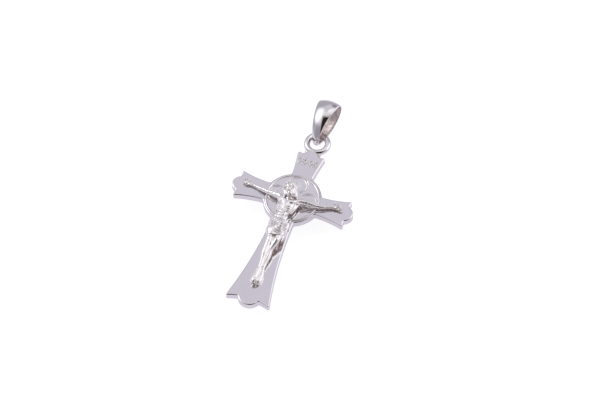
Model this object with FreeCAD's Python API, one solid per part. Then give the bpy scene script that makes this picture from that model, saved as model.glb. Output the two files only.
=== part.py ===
import FreeCAD, Part

import math
import os

from FreeCAD import Rotation, Vector

# A silver crucifix pendant, in millimetres.
# Frame: +Z runs up the cross, +X to the right as it is worn, and the front faces -Y.
# Origin: where the arms' axis meets the upright's, on the flat back of the plate (y = 0).
# At rest the bail is tipped forward on the ring, as it is when the pendant lies on its back.
# Heights called "rise" are measured forward from the plate's front face.

# Cross plate
plate_thickness = 1.2
front_edge_radius = 0.22
back_edge_radius = 0.08
roundel_radius = 4.87
roundel_blend_radius = 0.4
ear_radius = 0.24
notch_radius = 0.3

# Each arm: (along, across) points of one side, measured from the crossing, and its lobed end.
side_arm = {
    "root": (3.9, 1.8), "flare": (7.3, 2.05), "ear": (9.92, 2.68),
    "hollow": (9.57, 1.95), "notch": (9.62, 1.38), "tip": 10.6,
}
upper_arm = {
    "root": (4.2, 1.8), "flare": (7.0, 2.08), "ear": (9.24, 2.44),
    "hollow": (9.06, 1.8), "notch": (9.1, 1.32), "tip": 9.95,
}
lower_arm = {
    "root": (4.3, 1.86), "flare": (13.0, 2.4), "ear": (21.34, 3.9),
    "hollow": (20.93, 2.7), "notch": (20.75, 1.8), "tip": 21.95,
}

# Round medal set into a pocket at the crossing
medal_radius = 4.55
medal_seat_clearance = 0.02
medal_pocket_depth = 0.5
medal_rise = 0.06
medal_rim_radius = 4.36
medal_rim_wire = 0.15
medal_rays = 16
medal_ray_span = (2.1, 3.9)
medal_ray_width = 0.34
medal_ray_rise = 0.1

# Applied ornament on the upper arm: lozenges with beads between them
lozenge_count = 4
lozenge_pitch = 0.98
lozenge_half_width = 0.34
lozenge_half_height = 0.72
lozenge_rise = 0.24
ornament_height = 7.35
bead_radius = 0.13

# Suspension ring, soldered to the top lobe in the plane of the plate
ring_mean_radius = 1.74
ring_wire_radius = 0.52
ring_centre_height = 11.75
solder_radius = 0.42
solder_offset = 0.98
solder_height = 9.66

# Bail: a tapered, crowned band bent to a pointed oval and closed by a solder seam at its tip.
# Each side profile has a round top, a smaller round tip and two wide arcs between them; heights are
# measured along the bail from the centre of the ring's top wire.
bail_top_centre = 4.58
bail_outer = {"tip_centre": -1.2, "tip_radius": 0.62, "top_radius": 1.5, "side_radius": 5.49}
bail_opening = {"tip_centre": 0.0, "tip_radius": 1.16, "top_radius": 1.2, "side_radius": 5.13}
bail_half_widths = ((-1.9, 0.46), (2.2, 1.26), (6.2, 1.95))     # (height, half width) of its front
bail_crown = 0.28             # how far the band's outside falls from its middle to its widest edge
bail_opening_crown = 0.15     # and its inside
bail_tilt = 21.0              # degrees forward
bail_lean = 2.0               # degrees towards +X
bail_twist = 11.0             # degrees about its own length, front towards -X
bail_shift = -0.22
bail_slack = 0.3              # how far the wire lies behind the middle of the opening
bail_seam_height = 0.5
bail_seam_width = 0.16

# Nails through the hands and the feet
nail_shank_radius = 0.17
nail_head_radius = 0.3
nail_head_rise = 0.16
nail_depth = 0.7
nail_clearance = 0.015

# Corpus: (x, rise, z, radius) stations. It touches the plate at the hands and the feet only.
right_hand = (-8.15, 0.36, 0.14)
left_hand = (7.65, 0.38, 0.36)
foot = (0.05, 0.85, -17.5)
head_centre = (-0.45, 2.5, 0.15)
head_radii = (1.12, 1.1, 1.55)
head_lean = 24.0
right_arm = [
    (-1.1, 1.25, -1.2, 0.66), (-2.3, 1.15, -0.86, 0.5), (-3.25, 1.0, -0.76, 0.42), (-4.85, 0.66, -0.4, 0.33),
    (-6.8, 0.38, 0.02, 0.27), right_hand + (0.36,), (-8.75, 0.4, 0.6, 0.24),
]
left_arm = [
    (1.1, 1.25, -1.2, 0.66), (2.3, 1.13, -0.86, 0.5), (4.3, 0.76, -0.68, 0.39),
    (5.7, 0.58, -0.34, 0.3), (6.6, 0.4, 0.0, 0.28), left_hand + (0.4,), (8.2, 0.45, 0.75, 0.26),
]
right_leg = [
    (-0.75, 1.3, -6.0, 0.85), (-0.6, 1.75, -7.8, 0.76), (-0.33, 2.0, -9.6, 0.5), (-0.27, 1.6, -11.5, 0.47),
    (-0.18, 1.25, -13.2, 0.4), (-0.08, 1.03, -15.1, 0.28),
]
left_leg = [
    (0.6, 1.3, -6.0, 0.85), (0.9, 1.75, -7.8, 0.74), (0.95, 1.85, -9.5, 0.52), (0.55, 1.25, -11.4, 0.43),
    (0.46, 0.9, -13.0, 0.4), (0.42, 0.62, -14.9, 0.29),
]
right_foot = [(-0.08, 1.0, -15.1, 0.32), (-0.17, 0.85, -16.7, 0.42), (-0.05, 0.6, -18.2, 0.3)]
left_foot = [(0.42, 0.6, -14.9, 0.32), (0.6, 0.47, -16.5, 0.38), (0.38, 0.38, -18.0, 0.28)]
# Torso and cloth: (x, rise, z, half width, half depth)
torso = [
    (0.0, 1.5, -0.85, 0.6, 0.5), (0.0, 1.45, -1.35, 1.25, 0.8), (-0.12, 1.5, -2.6, 1.3, 0.95),
    (-0.25, 1.35, -4.2, 1.05, 0.8), (-0.2, 1.3, -5.6, 1.3, 0.9), (-0.1, 1.35, -6.6, 1.3, 0.9),
]
loincloth = [
    (-0.15, 1.3, -5.1, 1.45, 1.0), (-0.1, 1.5, -6.8, 1.5, 1.12), (0.05, 1.75, -8.7, 1.4, 1.02),
]
cloth_knot = (1.5, 1.4, -5.6, 0.42)
corpus_back_gap = 0.22

front = -plate_thickness
ring_wire_height = ring_centre_height + ring_mean_radius
ring_plane = -plate_thickness / 2


def y_at(rise):
    """The y of a point that stands rise in front of the plate's front face."""
    return front - rise


def cylinder_y(radius, y_back, y_front, x=0.0, z=0.0):
    return Part.makeCylinder(radius, y_back - y_front, Vector(x, y_front, z), Vector(0, 1, 0))


def largest(shape):
    """The biggest solid of a boolean result."""
    return max(shape.Solids, key=lambda s: s.Volume)


# ---------------------------------------------------------------- cross plate

def arm_blank(arm, angle):
    """One arm as a prism: flared sides, an ear at each corner and a lobe between two notches."""
    def at(name, side):
        along, across = arm[name]
        return Vector(side * across, 0, along)

    edges = [
        Part.LineSegment(Vector(0, 0, 0), at("root", 1)).toShape(),
        Part.Arc(at("root", 1), at("flare", 1), at("ear", 1)).toShape(),
        Part.Arc(at("ear", 1), at("hollow", 1), at("notch", 1)).toShape(),
        Part.Arc(at("notch", 1), Vector(0, 0, arm["tip"]), at("notch", -1)).toShape(),
        Part.Arc(at("notch", -1), at("hollow", -1), at("ear", -1)).toShape(),
        Part.Arc(at("ear", -1), at("flare", -1), at("root", -1)).toShape(),
        Part.LineSegment(at("root", -1), Vector(0, 0, 0)).toShape(),
    ]
    blank = Part.Face(Part.Wire(edges)).extrude(Vector(0, front, 0))
    blank.rotate(Vector(0, 0, 0), Vector(0, 1, 0), angle)
    return blank


def upright_edge_place(edge):
    """The (x, z) of an edge that runs through the plate, or None for any other edge."""
    if abs(edge.tangentAt(edge.FirstParameter).y) < 0.99:
        return None
    p = edge.Vertexes[0].Point
    return round(p.x, 3), round(p.z, 3)


def corner_radius(x, z):
    """Ears are rounded outwards; the notches and the roundel's corners are rounded inwards."""
    if math.hypot(x, z) < roundel_radius + 0.3:
        return roundel_blend_radius
    for arm, along, across in (
        (side_arm, abs(x), abs(z)), (upper_arm, z, abs(x)), (lower_arm, -z, abs(x)),
    ):
        if math.hypot(along - arm["ear"][0], across - arm["ear"][1]) < 0.05:
            return ear_radius
    return notch_radius


def cross_plate():
    arms = [arm_blank(*arm) for arm in ((upper_arm, 0), (lower_arm, 180), (side_arm, 90), (side_arm, -90))]
    plate = largest(cylinder_y(roundel_radius, 0, front).fuse(arms).removeSplitter())
    corners = {upright_edge_place(e) for e in plate.Edges} - {None}
    for radius in (ear_radius, notch_radius, roundel_blend_radius):
        places = [place for place in corners if corner_radius(*place) == radius]
        plate = largest(plate.makeFillet(radius, [e for e in plate.Edges if upright_edge_place(e) in places]))
    for y, radius in ((front, front_edge_radius), (0.0, back_edge_radius)):
        rim = [e for e in plate.Edges if all(abs(v.Point.y - y) < 1e-6 for v in e.Vertexes)]
        plate = largest(plate.makeFillet(radius, rim))
    cuts = [
        cylinder_y(medal_radius + medal_seat_clearance, front + medal_pocket_depth, front - 1),
        suspension_ring(),
    ]
    cuts += [nail_hole(*place) for place in nail_places().values()]
    return largest(plate.cut(cuts))


# ---------------------------------------------------------------- medal and ornament

def medal_disc():
    """A round medal with a raised wire rim and a sunburst of short rays."""
    face = y_at(medal_rise)
    disc = cylinder_y(medal_radius, front + medal_pocket_depth, face)
    rim = Part.makeTorus(medal_rim_radius, medal_rim_wire, Vector(0, face, 0), Vector(0, 1, 0))
    inner, outer = medal_ray_span
    rays = []
    for i in range(medal_rays):
        # A ray is a kite that is widest near its inner end.
        shoulder = inner + 0.3 * (outer - inner)
        kite = Part.makePolygon([
            Vector(0, face, inner), Vector(medal_ray_width / 2, face, shoulder), Vector(0, face, outer),
            Vector(-medal_ray_width / 2, face, shoulder), Vector(0, face, inner),
        ])
        ray = Part.Face(kite).extrude(Vector(0, -medal_ray_rise, 0))
        ray.rotate(Vector(0, 0, 0), Vector(0, 1, 0), 360 * (i + 0.5) / medal_rays)
        rays.append(ray)
    disc = disc.fuse([rim] + rays).removeSplitter()
    holes = [nail_hole(*place) for place in nail_places().values()]
    return largest(disc.cut(holes))


def titulus_ornament():
    """A row of pyramid lozenges with beads between them, each its own solid on the plate's face."""
    parts = []
    first = -(lozenge_count - 1) / 2
    for i in range(lozenge_count):
        x = (first + i) * lozenge_pitch
        outlines = []
        for share, rise in ((1.0, 0.0), (0.3, lozenge_rise)):
            w, h = lozenge_half_width * share, lozenge_half_height * share
            corners = [(x + w, ornament_height), (x, ornament_height + h),
                       (x - w, ornament_height), (x, ornament_height - h)]
            outlines.append(Part.makePolygon([Vector(px, y_at(rise), pz) for px, pz in corners + corners[:1]]))
        parts.append(Part.makeLoft(outlines, True, True))
    for i in range(lozenge_count - 1):
        x = (first + i + 0.5) * lozenge_pitch
        for side in (1, -1):
            ball = Part.makeSphere(bead_radius, Vector(x, front, ornament_height + side * lozenge_half_height * 0.72))
            parts.append(ball.common(in_front_of_plate()))
    return Part.makeCompound(parts)


def in_front_of_plate(gap=0.0):
    return Part.makeBox(40, 10, 60, Vector(-20, y_at(gap) - 10, -35))


# ---------------------------------------------------------------- suspension

def suspension_ring():
    centre = Vector(0, ring_plane, ring_centre_height)
    return Part.makeTorus(ring_mean_radius, ring_wire_radius, centre, Vector(0, 1, 0))


def ring_solder():
    """The two fillets of solder in the crevices between the ring and the top lobe."""
    plate, ring = cross_plate(), suspension_ring()
    fillets = []
    for side in (1, -1):
        drop = Part.makeSphere(solder_radius, Vector(side * solder_offset, ring_plane, solder_height))
        fillets.append(largest(drop.cut([plate, ring])))
    return Part.makeCompound(fillets)


def oval(x, profile, inset=0.0):
    """A closed outline in the plane at x: top and tip arcs joined by two wide arcs that touch both."""
    low, high = profile["tip_centre"], bail_top_centre
    r0, r1, r2 = (profile[k] - inset for k in ("tip_radius", "top_radius", "side_radius"))
    span = high - low
    along = ((r2 - r0) ** 2 - (r2 - r1) ** 2 + span ** 2) / (2 * span)
    back = math.sqrt((r2 - r0) ** 2 - along ** 2)
    # The centre of the wide arc that bulges towards -Y, and the points where it meets the others.
    centre = Vector(x, back, low + along)
    tip, top = Vector(x, 0, low), Vector(x, 0, high)
    meets_tip = centre + (tip - centre).normalize() * r2
    meets_top = centre + (top - centre).normalize() * r2
    bulge = centre - Vector(0, r2, 0)

    def mirror(p):
        return Vector(p.x, -p.y, p.z)

    edges = [
        Part.Arc(meets_tip, bulge, meets_top).toShape(),
        Part.Arc(meets_top, top + Vector(0, 0, r1), mirror(meets_top)).toShape(),
        Part.Arc(mirror(meets_top), mirror(bulge), mirror(meets_tip)).toShape(),
        Part.Arc(mirror(meets_tip), tip - Vector(0, 0, r0), meets_tip).toShape(),
    ]
    return Part.Wire(edges)


def crowned_prism(profile, crown):
    """A side profile swept across the bail, shrinking away from the middle to give the band its crown."""
    reach = bail_half_widths[-1][1] + 0.2
    outlines = []
    for share in (-1.0, -0.7, -0.35, 0.0, 0.35, 0.7, 1.0):
        outlines.append(oval(share * reach, profile, crown * share ** 2))
    return Part.makeLoft(outlines, True, False)


def bail_band():
    right = [Vector(w, -5, z) for z, w in bail_half_widths]
    left = [Vector(-w, -5, z) for z, w in bail_half_widths]
    taper = Part.Wire([
        Part.Arc(*right).toShape(), Part.LineSegment(right[-1], left[-1]).toShape(),
        Part.Arc(*reversed(left)).toShape(), Part.LineSegment(left[0], right[0]).toShape(),
    ])
    front_view = Part.Face(taper).extrude(Vector(0, 10, 0))
    band = crowned_prism(bail_outer, bail_crown).common(front_view)
    return largest(band.cut(crowned_prism(bail_opening, bail_opening_crown)))


def bail_seam_slot():
    """The solder line under the tip, where the band's two ends meet."""
    bottom = bail_outer["tip_centre"] - bail_outer["tip_radius"]
    return Part.makeBox(4, bail_seam_width, bail_seam_height + 0.5,
                        Vector(-2, -bail_seam_width / 2, bottom - 0.5))


def place_bail(shape):
    """From the bail's own frame, with its opening round the origin, to its rest on the ring."""
    shape.translate(Vector(0, -bail_slack, 0))
    shape.rotate(Vector(0, 0, 0), Vector(0, 0, 1), -bail_twist)
    shape.rotate(Vector(0, 0, 0), Vector(0, 1, 0), bail_lean)
    shape.rotate(Vector(0, 0, 0), Vector(1, 0, 0), bail_tilt)
    shape.translate(Vector(bail_shift, ring_plane, ring_wire_height))
    return shape


def bail():
    return place_bail(largest(bail_band().cut(bail_seam_slot())))


def bail_solder_seam():
    return place_bail(largest(bail_band().common(bail_seam_slot())))


# ---------------------------------------------------------------- nails

def nail_places():
    """Each nail's (x, rise of the surface its head sits on, z)."""
    return {
        "right_hand_nail": (right_hand[0], right_hand[1] + 0.2, right_hand[2]),
        "left_hand_nail": (left_hand[0], left_hand[1] + 0.2, left_hand[2]),
        "foot_nail": (foot[0], foot[1] + 0.32, foot[2]),
    }


def nail(x, seat, z):
    """A domed nail on the Y axis: its head sits on the corpus and its shank ends inside the plate."""
    shank = cylinder_y(nail_shank_radius, front + nail_depth, y_at(seat), x, z)
    curve = (nail_head_radius ** 2 + nail_head_rise ** 2) / (2 * nail_head_rise)
    ball = Part.makeSphere(curve, Vector(x, y_at(seat + nail_head_rise) + curve, z))
    head = ball.common(cylinder_y(nail_head_radius, y_at(seat), y_at(seat + 1), x, z))
    return largest(shank.fuse(head).removeSplitter())


def nail_hole(x, seat, z):
    """The shank's hole, and above the seat room for the head."""
    shank = cylinder_y(nail_shank_radius + nail_clearance, front + nail_depth + 0.02, y_at(seat), x, z)
    return shank.fuse(cylinder_y(nail_head_radius + nail_clearance, y_at(seat), y_at(seat + 2), x, z))


# ---------------------------------------------------------------- corpus

def limb(stations):
    """A rounded tube through (x, rise, z, radius) stations, with ball ends."""
    points = [Vector(x, y_at(rise), z) for x, rise, z, _ in stations]
    radii = [s[3] for s in stations]
    wires = []
    for i, p in enumerate(points):
        before, after = points[max(i - 1, 0)], points[min(i + 1, len(points) - 1)]
        wires.append(Part.Wire(Part.Circle(p, (after - before).normalize(), radii[i]).toShape()))
    tube = Part.makeLoft(wires, True, True)
    balls = [Part.makeSphere(r * 1.01, p) for p, r in zip(points, radii)]
    return tube.fuse(balls)


def stack(sections):
    """A body through level ellipses of (x, rise, z, half width, half depth)."""
    wires = []
    for x, rise, z, wide, deep in sections:
        c = Vector(x, y_at(rise), z)
        ellipse = Part.Ellipse(c + Vector(wide, 0, 0), c + Vector(0, deep, 0), c)
        wires.append(Part.Wire(ellipse.toShape()))
    return Part.makeLoft(wires, True, False)


def head():
    skull = Part.makeSphere(1.0)
    stretch = FreeCAD.Matrix()
    stretch.scale(*head_radii)
    skull = skull.transformGeometry(stretch)
    skull.rotate(Vector(0, 0, 0), Vector(0, 1, 0), -head_lean)
    x, rise, z = head_centre
    skull.translate(Vector(x, y_at(rise), z))
    neck = limb([(-0.1, 2.2, -0.6, 0.6), (0.0, 1.6, -1.4, 0.66)])
    return skull.fuse(neck)


def corpus():
    """The cast figure, plain here: a head, a torso, limbs and a knee-length cloth tied at the left hip."""
    x, rise, z, radius = cloth_knot
    knot = Part.makeSphere(radius, Vector(x, y_at(rise), z))
    figure = stack(torso)
    for piece in (stack(loincloth), limb(right_arm), limb(left_arm), limb(right_leg), limb(left_leg),
                  limb(right_foot), limb(left_foot), head(), knot):
        figure = figure.fuse(piece)
    figure = figure.common(in_front_of_plate())
    # Between the hands and above the feet the back stands clear of the plate and the medal.
    reach = 2 * abs(right_hand[0]) - 1.4
    clearance = Part.makeBox(reach, plate_thickness + corpus_back_gap, 40,
                             Vector(-reach / 2, y_at(corpus_back_gap), -16.2))
    holes = [nail_hole(*place) for place in nail_places().values()]
    return largest(figure.cut([clearance] + holes))


def main():
    os.makedirs("parts", exist_ok=True)
    nodes = {
        "cross_plate": cross_plate(),
        "medal_disc": medal_disc(),
        "titulus_ornament": titulus_ornament(),
        "corpus": corpus(),
        "suspension_ring": suspension_ring(),
        "ring_solder": ring_solder(),
        "bail": bail(),
        "bail_solder_seam": bail_solder_seam(),
    }
    for name, place in nail_places().items():
        nodes[name] = nail(*place)
    for name, shape in nodes.items():
        shape.exportStep(f"parts/{name}.step")
        sound = shape.isValid() and all(s.isClosed() for s in shape.Solids)
        print(f"{name}: {len(shape.Solids)} solid(s), {shape.Volume:.3f} mm3, sound {sound}")


main()
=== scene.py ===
import math

import bpy
import numpy as np
from mathutils import Matrix, Vector
from mathutils.geometry import tessellate_polygon


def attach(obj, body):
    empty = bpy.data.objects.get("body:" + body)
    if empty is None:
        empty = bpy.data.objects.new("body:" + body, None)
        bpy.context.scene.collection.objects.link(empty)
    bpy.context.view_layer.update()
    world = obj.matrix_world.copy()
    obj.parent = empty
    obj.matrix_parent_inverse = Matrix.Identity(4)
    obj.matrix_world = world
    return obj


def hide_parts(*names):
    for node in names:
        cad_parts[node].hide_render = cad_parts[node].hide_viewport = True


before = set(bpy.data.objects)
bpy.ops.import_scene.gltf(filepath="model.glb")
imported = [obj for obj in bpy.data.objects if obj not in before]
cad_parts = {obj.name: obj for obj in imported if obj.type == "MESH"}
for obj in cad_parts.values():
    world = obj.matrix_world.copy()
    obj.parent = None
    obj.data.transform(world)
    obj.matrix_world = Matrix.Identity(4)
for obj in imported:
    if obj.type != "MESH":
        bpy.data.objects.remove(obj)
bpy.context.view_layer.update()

# Lengths are millimetres until a mesh is made. Figure and relief points are (x, rise, z),
# where rise is measured forward from the plate's front face.
MM = 0.001
PLATE = 1.2
FRONT = -PLATE


# ---------------------------------------------------------------- meshes

def add_mesh(name, points, faces, body="cross", normals=None, replaces=(), slot=None, material=None):
    """A mesh piece from points in millimetres, riding on a CAD body."""
    mesh = bpy.data.meshes.new(name)
    mesh.from_pydata((np.asarray(points, float) * MM).tolist(), [], [list(f) for f in faces])
    mesh.update()
    mesh.shade_smooth()
    if normals is not None:
        mesh.normals_split_custom_set_from_vertices(np.asarray(normals, float).tolist())
    piece = bpy.data.objects.new(name, mesh)
    bpy.context.scene.collection.objects.link(piece)
    if material:
        mesh.materials.append(material)
    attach(piece, body)
    if replaces:
        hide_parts(*replaces)
    return piece


def grid_faces(rows, columns, wrap_rows=False, wrap_columns=False):
    """Quads over a grid of points stored row by row."""
    faces = []
    for i in range(rows if wrap_rows else rows - 1):
        for j in range(columns if wrap_columns else columns - 1):
            a, b = i * columns, (i + 1) % rows * columns
            k = (j + 1) % columns
            faces.append((a + j, a + k, b + k, b + j))
    return faces


# ---------------------------------------------------------------- implicit shapes

class Clay:
    """A signed distance field on a box of grid points. Shapes are joined to it or carved from it,
    each only over its own neighbourhood."""

    def __init__(self, low, high, step):
        self.low, self.step = np.array(low, float), step
        self.shape = tuple(int(math.ceil((h - l) / step)) + 1 for l, h in zip(low, high))
        self.d = np.full(self.shape, 1.0, np.float32)

    def twin(self):
        """An empty clay on the same grid."""
        other = Clay(self.low, self.low, self.step)
        other.shape = self.shape
        other.d = np.full(self.shape, 1.0, np.float32)
        return other

    def window(self, low, high):
        first = np.maximum(np.floor((np.array(low) - self.low) / self.step).astype(int), 0)
        last = np.minimum(np.ceil((np.array(high) - self.low) / self.step).astype(int) + 1, self.shape)
        if (last <= first).any():
            return None, None
        where = tuple(slice(a, b) for a, b in zip(first, last))
        axes = [(self.low[i] + self.step * np.arange(first[i], last[i])).astype(np.float32) for i in range(3)]
        return where, np.meshgrid(*axes, indexing="ij")

    def join(self, form, blend=0.0):
        self._mix(form, blend, 1)

    def carve(self, form, blend=0.0):
        self._mix(form, blend, -1)

    def _mix(self, form, blend, sign):
        distance, low, high = form
        margin = blend + 3 * self.step
        where, p = self.window(np.array(low) - margin, np.array(high) + margin)
        if where is None:
            return
        a, b = self.d[where] * sign, distance(*p)
        if blend:
            h = np.maximum(blend - np.abs(a - b), 0) / blend
            mixed = np.minimum(a, b) - h * h * blend / 4
        else:
            mixed = np.minimum(a, b)
        self.d[where] = mixed * sign

    def press(self, low, high, change):
        """Adds change(x, rise, z, d) to the field over a box."""
        where, p = self.window(low, high)
        if where is not None:
            self.d[where] += change(*p, self.d[where]).astype(np.float32)

    def soften(self):
        """One light blur along each axis, as casting and polishing would round small edges."""
        for axis in range(3):
            d = np.swapaxes(self.d, 0, axis)
            d[1:-1] = (d[:-2] + 2 * d[1:-1] + d[2:]) / 4

    def keep(self, distance):
        """Keeps only what lies inside distance < 0."""
        where, p = self.window(self.low, self.low + self.step * np.array(self.shape))
        self.d[where] = np.maximum(self.d[where], distance(*p))


def ball(c, r):
    return egg(c, (r, r, r))


def egg(c, radii, turn=None):
    """An ellipsoid; turn is a 3x3 matrix whose columns are its own axes."""
    c, radii = np.array(c, float), np.array(radii, float)
    reach = np.full(3, radii.max()) if turn is not None else radii

    def distance(x, y, z):
        q = [x - c[0], y - c[1], z - c[2]]
        if turn is not None:
            q = [sum(turn[k][i] * q[k] for k in range(3)) for i in range(3)]
        k0 = np.sqrt(sum((q[i] / radii[i]) ** 2 for i in range(3)))
        k1 = np.sqrt(sum((q[i] / radii[i] ** 2) ** 2 for i in range(3))) + 1e-9
        return k0 * (k0 - 1) / k1

    return distance, c - reach, c + reach


def tube(a, b, ra, rb=None):
    """A round cone between two balls."""
    a, b = np.array(a, float), np.array(b, float)
    rb = ra if rb is None else rb
    v = b - a
    length = max(float(v @ v), 1e-9)

    def distance(x, y, z):
        t = np.clip(((x - a[0]) * v[0] + (y - a[1]) * v[1] + (z - a[2]) * v[2]) / length, 0, 1)
        return np.sqrt((x - a[0] - t * v[0]) ** 2 + (y - a[1] - t * v[1]) ** 2 + (z - a[2] - t * v[2]) ** 2) \
            - (ra + (rb - ra) * t)

    r = max(ra, rb)
    return distance, np.minimum(a, b) - r, np.maximum(a, b) + r


def path(stations, blend=0.12):
    """Tubes through (x, rise, z, radius) stations, as one form."""
    pieces = [tube(s[:3], e[:3], s[3], e[3]) for s, e in zip(stations, stations[1:])]

    def distance(x, y, z):
        d = pieces[0][0](x, y, z)
        for piece in pieces[1:]:
            e = piece[0](x, y, z)
            h = np.maximum(blend - np.abs(d - e), 0) / blend
            d = np.minimum(d, e) - h * h * blend / 4
        return d

    return distance, np.min([p[1] for p in pieces], 0), np.max([p[2] for p in pieces], 0)


def smooth_path(stations, steps=4):
    """More stations along a Catmull-Rom curve through the given ones."""
    s = np.array(stations, float)
    s = np.vstack([2 * s[0] - s[1], s, 2 * s[-1] - s[-2]])
    out = []
    for i in range(1, len(s) - 2):
        for t in np.arange(steps) / steps:
            out.append(0.5 * (2 * s[i] + (s[i + 1] - s[i - 1]) * t
                              + (2 * s[i - 1] - 5 * s[i] + 4 * s[i + 1] - s[i + 2]) * t ** 2
                              + (3 * s[i] - s[i - 1] - 3 * s[i + 1] + s[i + 2]) * t ** 3))
    return np.vstack(out + [s[-2]])


def sample(field, low, step, points):
    """Values of a grid field at points, by trilinear interpolation."""
    g = (points - low) / step
    top = np.array(field.shape[:3]) - 2
    i = np.clip(np.floor(g).astype(int), 0, top)
    f = np.clip(g - i, 0, 1)
    out = 0
    for dx in (0, 1):
        for dy in (0, 1):
            for dz in (0, 1):
                w = ((f[:, 0] if dx else 1 - f[:, 0]) * (f[:, 1] if dy else 1 - f[:, 1])
                     * (f[:, 2] if dz else 1 - f[:, 2]))
                v = field[i[:, 0] + dx, i[:, 1] + dy, i[:, 2] + dz]
                out = out + (w[:, None] * v if v.ndim == 2 else w * v)
    return out


def skin(clay, skip=()):
    """The surface of a clay field: (points, faces, normals, hollowness) by surface nets, with each point
    then moved onto the surface. Cells wholly inside a skip box (low, high) are left out."""
    d, low, step = clay.d, clay.low, clay.step
    inside = d < 0
    corners = [(i, j, k) for i in (0, 1) for j in (0, 1) for k in (0, 1)]
    cells = tuple(n - 1 for n in d.shape)
    count = np.zeros(cells, np.int8)
    for c in corners:
        count += inside[c[0]:c[0] + cells[0], c[1]:c[1] + cells[1], c[2]:c[2] + cells[2]]
    mixed = (count > 0) & (count < 8)
    for lo, hi in skip:
        a = np.maximum(np.ceil((np.array(lo) - low) / step).astype(int), 0)
        b = np.maximum(np.floor((np.array(hi) - low) / step).astype(int), 0)
        mixed[a[0]:b[0], a[1]:b[1], a[2]:b[2]] = False
    index = np.full(cells, -1, np.int64)
    where = np.argwhere(mixed)
    index[mixed] = np.arange(len(where))
    values = np.stack([d[where[:, 0] + c[0], where[:, 1] + c[1], where[:, 2] + c[2]] for c in corners], 1)
    total, hits = np.zeros((len(where), 3)), np.zeros(len(where))
    for a, ca in enumerate(corners):
        for b, cb in enumerate(corners):
            if sum(abs(x - y) for x, y in zip(ca, cb)) == 1 and a < b:
                va, vb = values[:, a], values[:, b]
                cross = (va < 0) != (vb < 0)
                t = np.where(cross, va / np.where(cross, va - vb, 1), 0)
                total += cross[:, None] * (np.array(ca) + t[:, None] * (np.array(cb) - np.array(ca)))
                hits += cross
    points = low + step * (where + total / hits[:, None])
    faces = []
    for axis in range(3):
        u, v = (axis + 1) % 3, (axis + 2) % 3
        ahead = np.roll(inside, -1, axis)
        edges = np.argwhere(inside != ahead)
        ok = (edges[:, axis] < d.shape[axis] - 1) & (edges[:, u] > 0) & (edges[:, v] > 0) \
            & (edges[:, u] < cells[u]) & (edges[:, v] < cells[v])
        edges = edges[ok]
        ring = []
        for du, dv in ((-1, -1), (0, -1), (0, 0), (-1, 0)):
            e = edges.copy()
            e[:, u] += du
            e[:, v] += dv
            ring.append(index[e[:, 0], e[:, 1], e[:, 2]])
        quad = np.stack(ring, 1)
        flip = ~inside[edges[:, 0], edges[:, 1], edges[:, 2]]
        quad[flip] = quad[flip][:, ::-1]
        faces.append(quad[(quad >= 0).all(1)])
    faces = np.vstack(faces)
    slope = np.stack(np.gradient(d, step), -1).astype(np.float32)
    for _ in range(2):
        g = sample(slope, low, step, points)
        move = sample(d, low, step, points)[:, None] * g / np.maximum((g ** 2).sum(1), 0.04)[:, None]
        points = points - np.clip(move, -0.4 * step, 0.4 * step)
    g = sample(slope, low, step, points)
    normals = g / np.maximum(np.linalg.norm(g, axis=1), 1e-6)[:, None]
    open_share = 0
    for reach in (0.12, 0.25, 0.45):
        open_share = open_share + np.clip(sample(d, low, step, points + normals * reach) / reach, 0, 1) / 3
    return points, faces, normals, 1 - open_share


def to_frame(points):
    """(x, rise, z) to (x, y, z)."""
    out = np.array(points, float)
    out[:, 1] = FRONT - out[:, 1]
    return out


def set_patina_and_shade(piece, values):
    """How sheltered each point is, from 0 to 1, for the brown skin of the materials; on some pieces it also
    carries painted shade on sides turned away from the light.
    """
    layer = piece.data.attributes.new("hollow", "FLOAT", "POINT")
    layer.data.foreach_set("value", np.asarray(values, np.float32))


def add_clay(name, clay, material, skip=(), **kw):
    points, faces, normals, hollow = skin(clay, skip)
    flipped = normals * (1, -1, 1)
    piece = add_mesh(name, to_frame(points), faces[:, ::-1], normals=flipped, material=material, **kw)
    # Painted shade: the back of the casting, turned towards the plate, gets the dull brown skin as if hollow,
    # so it and its reflection in the plate read dark.
    back = np.clip(-normals[:, 1] * 2.4 - 1.15, 0, 1) * np.clip(2.2 - points[:, 1], 0, 1)
    set_patina_and_shade(piece, np.clip(np.maximum(hollow * 1.15, back), 0, 1))


# ---------------------------------------------------------------- materials

def node(tree, kind, **values):
    n = tree.nodes.new(kind)
    for key, value in values.items():
        if hasattr(n, key):
            setattr(n, key, value)
        else:
            n.inputs[key].default_value = value
    return n


def ranged(tree, value, low, high, to_low=0.0, to_high=1.0, ease="LINEAR"):
    """A value carried from one range to another and held at the ends; low may be the larger."""
    n = node(tree, "ShaderNodeMapRange", interpolation_type=ease)
    for socket, number in (("From Min", low), ("From Max", high), ("To Min", to_low), ("To Max", to_high)):
        n.inputs[socket].default_value = number
    tree.links.new(value, n.inputs["Value"])
    return n.outputs["Result"]


def blended(tree, share, first, second):
    """A colour between two, each a socket or an (r, g, b)."""
    mix = node(tree, "ShaderNodeMix", data_type="RGBA")
    tree.links.new(share, mix.inputs[0])
    for socket, value in ((mix.inputs[6], first), (mix.inputs[7], second)):
        if isinstance(value, tuple):
            socket.default_value = (*value, 1)
        else:
            tree.links.new(value, socket)
    return mix.outputs[2]


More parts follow.
